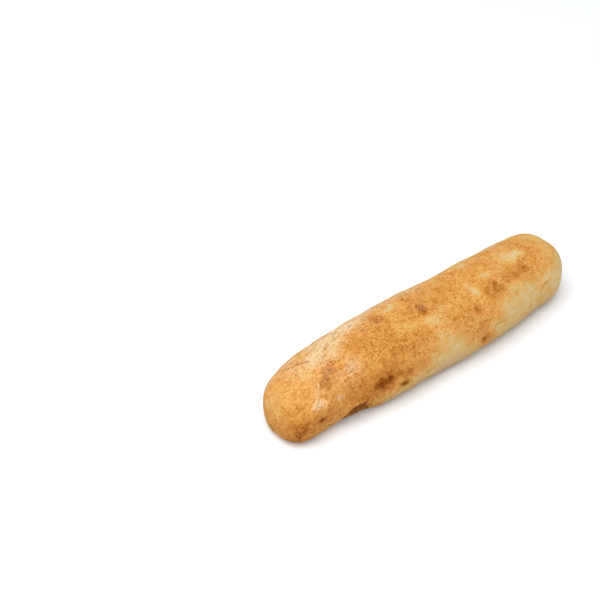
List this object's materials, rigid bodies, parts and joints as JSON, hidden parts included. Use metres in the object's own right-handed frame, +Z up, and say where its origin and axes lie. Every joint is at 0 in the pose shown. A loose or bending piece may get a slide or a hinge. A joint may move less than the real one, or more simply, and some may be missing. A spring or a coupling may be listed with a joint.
{
  "type": "ciabatta roll",
  "caption": "Long baked ciabatta roll with a domed crust, a flat underside, rounded ends, small open blisters and a torn arch low on one side.",
  "frame": {"origin": "middle of the underside, under the centre of the roll's box", "axes": "+X along the roll, +Z up, -Y out of the side with the open blisters"},
  "size_m": [0.22, 0.055, 0.041],
  "materials": {
    "baked_crust": "matt floury crust, pale on the sides and golden brown on top"
  },
  "bodies": {
    "root": {"ciabatta_roll": "baked_crust"}
  },
  "joints": []
}
